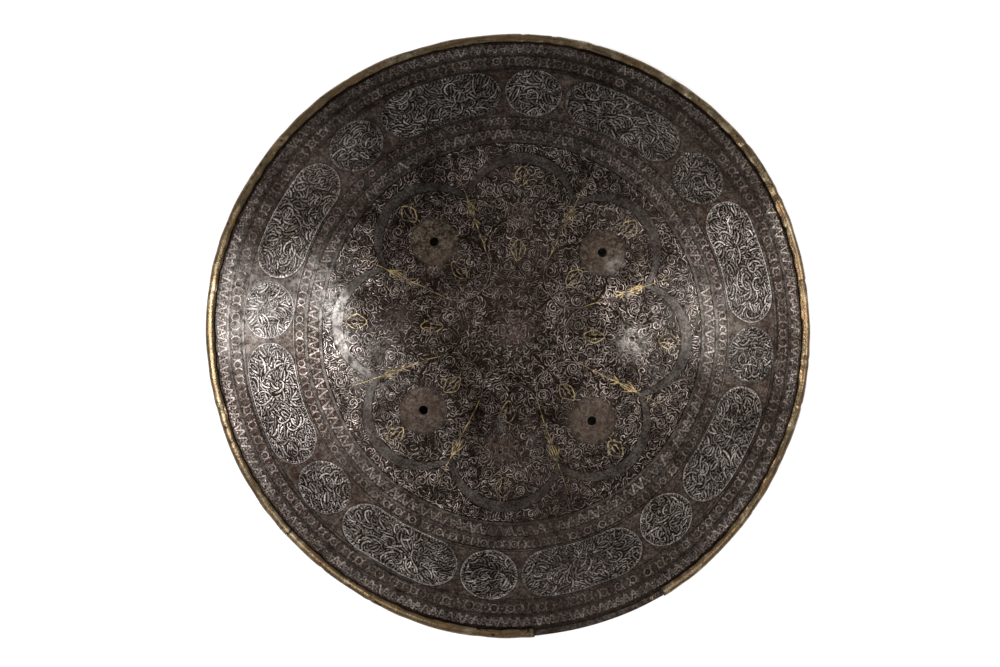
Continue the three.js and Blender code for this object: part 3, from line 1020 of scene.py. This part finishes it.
# ---- Gold ----
# A spray of leaves on a ray: start radius, length and opening angle of each.
SPRAY = [(104, 14, 0.24), (102, 9, 0.55), (88, 6, 0.6)]
POINTED_LEAVES = [(118, 15.5, 11.5), (61, 16, 10.5)]  # radius, length and width of each on a lobe's axis
RAY = (56, 130)
VEIN_WIDTH = 0.45


def pointed_leaf(ridges, radius, length, width, axis):
    ridges.add(turned(pointed_oval(radius, length, width), axis), 0.5, closed=True)
    for side in (1, -1):
        vein = curve_from(np.array([radius - 3.5, side * 0.6]), side * 0.75, -side * 0.22, 0.0, 6)
        ridges.add(turned(vein[::2], axis), VEIN_WIDTH)


def ray(ridges, angle):
    """A line out between two lobes with sprays of leaves along it."""
    ridges.add(at(np.linspace(*RAY, 44), angle), tapered(44, 0.6, 0.3, 0.2))
    for side in (1, -1):
        for start, length, opening in SPRAY:
            leaf = curve_from(np.array([float(start), side * 0.5]), pi - side * opening,
                              side * 0.03, 0.0, length)
            index = thinned(leaf, 1.5)
            ridges.add(turned(leaf[index], angle), tapered(len(leaf), 0.5)[index])


def gold_inlay(material):
    """Rays between the lobes with sprays of leaves on them, and pointed leaves on the lobes' axes."""
    ridges = Ridges()
    for lobe in range(LOBES):
        axis = lobe * SECTOR
        for leaf in POINTED_LEAVES:
            pointed_leaf(ridges, *leaf, axis)
        ray(ridges, axis + SECTOR / 2)
    ridges.piece("gold_inlay", material, "gold_inlay", lift=0.1, wander=0.7)


# ---- The brass edge ----
STRIP_REACH = 7.2
STRIP_INSIDE_REACH = 5.2
STRIP_WALL = 0.8
END_DIRT = 1.6  # how far the dirt in a strip's butted end spreads along it
LAP_START = 1.8 - STRIP_REACH  # the ragged lap on the outer face is short of this
LEAST_COVER = 0.5  # the worn crown stays this far out from the steel
UNDERSIDE = -0.9
STREAK_STRETCH = 0.09  # the brass's streaks are as much longer along it as this is less than one
LONG_STRIP = (radians(304 - 360), radians(225.6))
SHORT_STRIP = (radians(225.6), radians(278.2))
# Angle in degrees, half width in degrees and depth of each knock in the strips.
KNOCKS = [
    (349.6, 0.5, 0.5), (339.4, 3.0, 0.7), (358.4, 0.6, 0.3), (327.5, 0.4, 0.4), (245.8, 0.4, 0.4),
    (234.8, 0.5, 0.4), (198.9, 1.2, 0.8), (151.6, 0.7, 0.4), (126.2, 1.0, 0.4), (110.9, 3.4, 0.7),
    (91.1, 0.4, 0.6), (85.2, 0.5, 0.6), (77.1, 0.8, 0.5), (62.4, 0.5, 0.4), (42.4, 0.5, 0.4),
    (31.3, 0.9, 0.6), (13.6, 0.4, 0.5), (268.0, 1.6, 0.4), (215.0, 1.1, 0.3), (175.0, 1.6, 0.4),
]


def corner_cut(line, times):
    """Rounds the corners of an open line, keeping its ends."""
    for _ in range(times):
        near = line[:-1] * 0.75 + line[1:] * 0.25
        far = line[:-1] * 0.25 + line[1:] * 0.75
        line = np.concatenate([line[:1], np.stack([near, far], 1).reshape(-1, 2)[1:-1], line[-1:]])
    return line


def resting(past):
    """A point of the section on the surface that the shield rests on."""
    return [past, (past * sin(FLANK) - EDGE_HEIGHT) / cos(FLANK)]


def strip_section():
    """The strip's section, in (past the edge, out from the outer face), anticlockwise."""
    inside = -THICKNESS - OPEN_GAP
    channel = [[-STRIP_REACH, OPEN_GAP], [OPEN_GAP, OPEN_GAP], [OPEN_GAP, inside],
               [-STRIP_INSIDE_REACH, inside]]
    shell = [[-STRIP_INSIDE_REACH, inside - STRIP_WALL], resting(0), resting(1.3), [1.5, -1.0], [1.3, 0.5],
             [0.5, 1.3], [-1.2, 1.8], [-3.4, 1.9], [-5.6, 1.45], [-STRIP_REACH, 0.6]]
    return np.array(channel), corner_cut(np.array(shell), 2)


def strip_angles(start, end):
    """Angles of a strip's sections, with one more near each end for the dirt there."""
    dirty = END_DIRT / EDGE
    angle = np.arange(start + dirty, end - dirty, radians(0.45))
    return np.concatenate([[start], angle, [end - dirty, end]])[:, None]


def strip_wear(angle):
    """How deep the strip's crown is worn and knocked in at each angle."""
    wear = 0.12 * (1 + np.sin(angle * 41 + 2 * np.sin(angle * 13)))
    for place, half, depth in KNOCKS:
        off = np.degrees(np.angle(np.exp(1j * (angle - radians(place)))))
        wear = np.maximum(wear, depth * np.exp(-((off / half) ** 2)))
    return wear


def worn_section(angle, past, out, outside):
    """The section at each angle, with its lap ragged and its crown worn but still over the steel."""
    ragged = 0.35 * np.sin(angle * 23 + 1.3 * np.sin(angle * 57)) + 0.2 * np.sin(angle * 97)
    crown = outside * np.clip(out + 0.8, 0, 1.2) / 1.2
    wear = crown * strip_wear(angle)
    lap = (past < LAP_START) & (out > 0)
    worn_past = past + lap * (ragged + 0.4) - wear * np.clip(past + 0.5, 0, 1)
    over_steel = (past < OPEN_GAP) & (out > OPEN_GAP + 0.1)
    lowest = np.where(over_steel, LEAST_COVER, out.min())
    return worn_past, np.maximum(out - wear, lowest)


def edge_strip(name, node, start, end, material):
    channel, shell = strip_section()
    section = np.concatenate([channel, shell])
    past, out = section[:, 0], section[:, 1]
    outside = np.arange(len(section)) >= len(channel)
    margin = OPEN_GAP / 2 / EDGE
    angle = strip_angles(start + margin, end - margin)
    worn_past, worn_out = worn_section(angle, past, out, outside)
    radius = EDGE + worn_past * cos(FLANK) + worn_out * sin(FLANK)
    height = EDGE_HEIGHT - worn_past * sin(FLANK) + worn_out * cos(FLANK)
    radius = radius * (1 + (radius / EDGE) ** 4 * edge_wave(angle))
    places = np.stack([radius * np.cos(angle), radius * np.sin(angle), np.maximum(height, 0)], -1)
    run = np.concatenate([[0], np.cumsum(np.linalg.norm(np.diff(section, axis=0), axis=1))])
    under_lip = (out < UNDERSIDE) & (past < 1.5 - STRIP_INSIDE_REACH)
    at_end = (angle == angle[0]) | (angle == angle[-1])
    layers = {
        "along": angle * EDGE * STREAK_STRETCH * MM,
        "across": run * MM,
        # Painted shade on the inner lap edge and under the lip, and dirt at the butted ends, all coloured
        # near black in the brass.
        "grime_and_painted_shade": outside & ((past < 0.9 - STRIP_REACH) | under_lip | at_end),
    }
    layers = {key: np.broadcast_to(values, radius.shape).ravel() for key, values in layers.items()}
    count = len(section)
    lid = np.arange(count)
    last = lid + (len(angle) - 1) * count
    faces = [strip_faces(len(angle), count, False, True)[:, ::-1], lid[None, :], last[None, ::-1]]
    make_piece(name, places.reshape(-1, 3), faces, material, "old_brass", [node], **layers)


def edge_rivet(material):
    """A small domed rivet through the steel beside the lost section of strip."""
    angle, inset = radians(301.7), 2.8
    head, shank, crown = 1.6, 0.8, 0.7
    tail = -THICKNESS - OPEN_GAP
    swell = np.linspace(0, pi / 2, 6)
    dome = [(head * cos(t), OPEN_GAP + crown * sin(t)) for t in swell]
    profile = [(0, tail - crown), (head * 0.8, tail - crown * 0.7), (head, tail), (shank, tail),
               (shank, OPEN_GAP), *dome[:-1], (0, OPEN_GAP + crown)]
    places, faces = lathe(profile, 24)
    turn = Matrix.Rotation(angle, 3, "Z")
    edge = EDGE * (1 + float(edge_wave(angle)))
    foot = Vector((edge - inset * cos(FLANK), 0, EDGE_HEIGHT + inset * sin(FLANK)))
    places = places @ np.array(turn @ Matrix.Rotation(FLANK, 3, "Y")).T + np.array(turn @ foot)
    make_piece("edge_rivet_head", places, faces, material, "old_brass", ["edge_rivet"], smooth=True)


# ---- Floor, lights and camera, in metres ----
FLOOR_REACH = 12.0
FLOOR_HEIGHT = -0.0003  # just clear of the strip


def floor():
    n = Nodes("pale_floor")
    colour = n.mix(n.ramp(n.noise(400, 2), 0.3, 0.7), (0.86, 0.86, 0.86), (0.88, 0.88, 0.88))
    material = n.finish(colour, 0.9, n.bump(n.noise(30, 2), 0.05, 0.1), 0.0)
    mesh = bpy.data.meshes.new("floor")
    reach = FLOOR_REACH
    corners = [(-reach, -reach, 0), (reach, -reach, 0), (reach, reach, 0), (-reach, reach, 0)]
    mesh.from_pydata(corners, [], [(0, 1, 2, 3)])
    mesh.materials.append(material)
    piece = place_in_scene("floor", mesh)
    piece.location.z = FLOOR_HEIGHT
    piece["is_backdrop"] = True


VIEW_ROLL = radians(3.6)  # the boss holes stand this far off the view's diagonals
# Name, azimuth and elevation in degrees, distance, width and height in metres, power and colour of each.
# The azimuth is in the camera's picture, anticlockwise from its right.
SOFTBOXES = [
    ("left_box", 184, 34, 1.7, 0.8, 0.5, 31, (0.95, 0.96, 1.0)),
    ("right_spot", 7, 56, 1.7, 0.3, 0.3, 10.5, (1, 1, 1)),
    ("right_box", 10, 26, 1.9, 0.9, 0.4, 14.5, (1, 1, 1)),
    ("low_box", 236, 36, 2.0, 0.9, 0.4, 7, (1, 1, 1)),
    ("low_right_box", 316, 34, 2.0, 0.8, 0.4, 4.5, (1, 1, 1)),
]


def softbox(name, azimuth, elevation, distance, width, height, power, colour):
    data = bpy.data.lights.new(name, "AREA")
    data.shape = "RECTANGLE"
    data.size, data.size_y = width, height
    data.energy = power
    data.color = colour
    light = place_in_scene(name, data)
    a, e = radians(azimuth) + VIEW_ROLL, radians(elevation)
    back = Vector((cos(a) * cos(e), sin(a) * cos(e), sin(e)))
    light.location = back * distance + Vector((0, 0, 0.04))
    light.rotation_mode = "QUATERNION"
    light.rotation_quaternion = (-back).to_track_quat("-Z", "Y")
    light.visible_camera = False


def lights():
    world = bpy.data.worlds.new("studio")
    world.use_nodes = True
    world.node_tree.nodes["Background"].inputs["Color"].default_value = (0.66, 0.66, 0.66, 1)
    bpy.context.scene.world = world
    for box in SOFTBOXES:
        softbox(*box)


def camera():
    """Looks down on the shield, a little from the lower left, with the outline a little right of centre."""
    distance = 2.0
    seen_width = 0.7759  # metres across the picture at the edge's height
    lean_x, lean_y = radians(-1.55), radians(-1.42)
    aim_right, aim_up = -0.0080, -0.0001
    data = bpy.data.cameras.new("camera")
    data.sensor_width = 36.0
    data.lens = data.sensor_width * distance / seen_width
    data.clip_end = 50
    eye = place_in_scene("camera", data)
    right = Vector((cos(VIEW_ROLL), sin(VIEW_ROLL), 0))
    up = Vector((-sin(VIEW_ROLL), cos(VIEW_ROLL), 0))
    aim = right * aim_right + up * aim_up + Vector((0, 0, EDGE_HEIGHT * MM))
    back = (right * tan(lean_x) + up * tan(lean_y) + Vector((0, 0, 1))).normalized()
    eye.location = aim + back * distance
    side = up.cross(back).normalized()
    eye.rotation_mode = "QUATERNION"
    eye.rotation_quaternion = Matrix((side, back.cross(side), back)).transposed().to_quaternion()
    bpy.context.scene.camera = eye
    bpy.context.scene.view_settings.view_transform = "Standard"


# ---- Everything ----
ground_steel = steel("ground_steel", (0.0075, 0.0042, 0.0028), (0.0165, 0.0096, 0.0062), 0.45, punched=True)
field_steel = steel("field_steel", (0.079, 0.063, 0.054), (0.203, 0.173, 0.155), 0.34, 0.5)
border_steel = steel("border_steel", (0.08, 0.063, 0.054), (0.18, 0.152, 0.135), 0.36, 0.5)
panel_steel = steel("panel_steel", (0.106, 0.09, 0.08), (0.215, 0.193, 0.177), 0.36, 0.6)
line_steel = steel("line_steel", (0.033, 0.027, 0.023), (0.07, 0.06, 0.053), 0.34, 0.6)
old_brass = brass()
worn_gold = gold()

steel_dome(ground_steel)
raised_lines(line_steel)
narrow_borders(border_steel)
panels(panel_steel)
field(field_steel)
star_and_rounds(field_steel)
gold_inlay(worn_gold)
edge_strip("long_strip", "long_edge_strip", *LONG_STRIP, old_brass)
edge_strip("short_strip", "short_edge_strip", *SHORT_STRIP, old_brass)
edge_rivet(old_brass)
floor()
lights()
camera()

boxes = {"cad": cad_box, "visual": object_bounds()}
{key: [list(corner) for corner in box] for key, box in boxes.items()}
